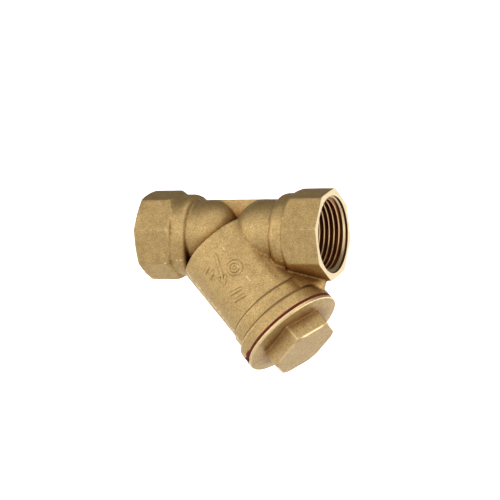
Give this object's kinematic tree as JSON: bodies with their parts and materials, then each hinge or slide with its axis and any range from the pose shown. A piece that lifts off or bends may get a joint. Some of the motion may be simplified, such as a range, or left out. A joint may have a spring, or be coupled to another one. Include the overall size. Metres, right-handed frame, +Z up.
{
  "type": "y strainer",
  "caption": "Brass Y strainer with octagonal threaded socket ends, a slanted branch with a removable screen, and a hexagon-head screw cap on a gasket.",
  "frame": {"origin": "centre of the inlet end face", "axes": "+X along the run, from the inlet to the outlet; +Z up, away from the branch; Y across. The branch leaves down and towards the outlet in the plane Y = 0."},
  "size_m": [0.0873, 0.0464, 0.0807],
  "materials": {
    "cast_brass": "sand-cast and blasted, with bright machined socket mouths",
    "forged_brass": "hot-forged and blasted, with a bright turned flange edge",
    "gasket_fibre": "pressed red fibre, dull",
    "screen_steel": "rolled stainless sheet, satin"
  },
  "bodies": {
    "valve_body": {"valve_body": "cast_brass"},
    "screen": {"screen_sleeve": "screen_steel", "screen_seat_ring": "screen_steel", "screen_cap_ring": "screen_steel"},
    "gasket": {"cap_gasket": "gasket_fibre"},
    "cap": {"strainer_cap": "forged_brass"}
  },
  "joints": [
    {"name": "screen_pull", "type": "slide", "parent": "valve_body", "child": "screen", "axis": [0.6947, 0, -0.7193], "range_m": [0, 0.055]},
    {"name": "cap_travel", "type": "slide", "parent": "screen", "child": "gasket", "axis": [0.6947, 0, -0.7193], "range_m": [0, 0.0075]},
    {"name": "cap_turn", "type": "hinge", "parent": "gasket", "child": "cap", "pos_m": [0.07078, 0, -0.0441], "axis": [0.6947, 0, -0.7193], "range_deg": [0, 1800]}
  ],
  "couplings": [
    {"joint": "cap_travel", "follows": "cap_turn", "m_per_rad": 0.00023873}
  ]
}
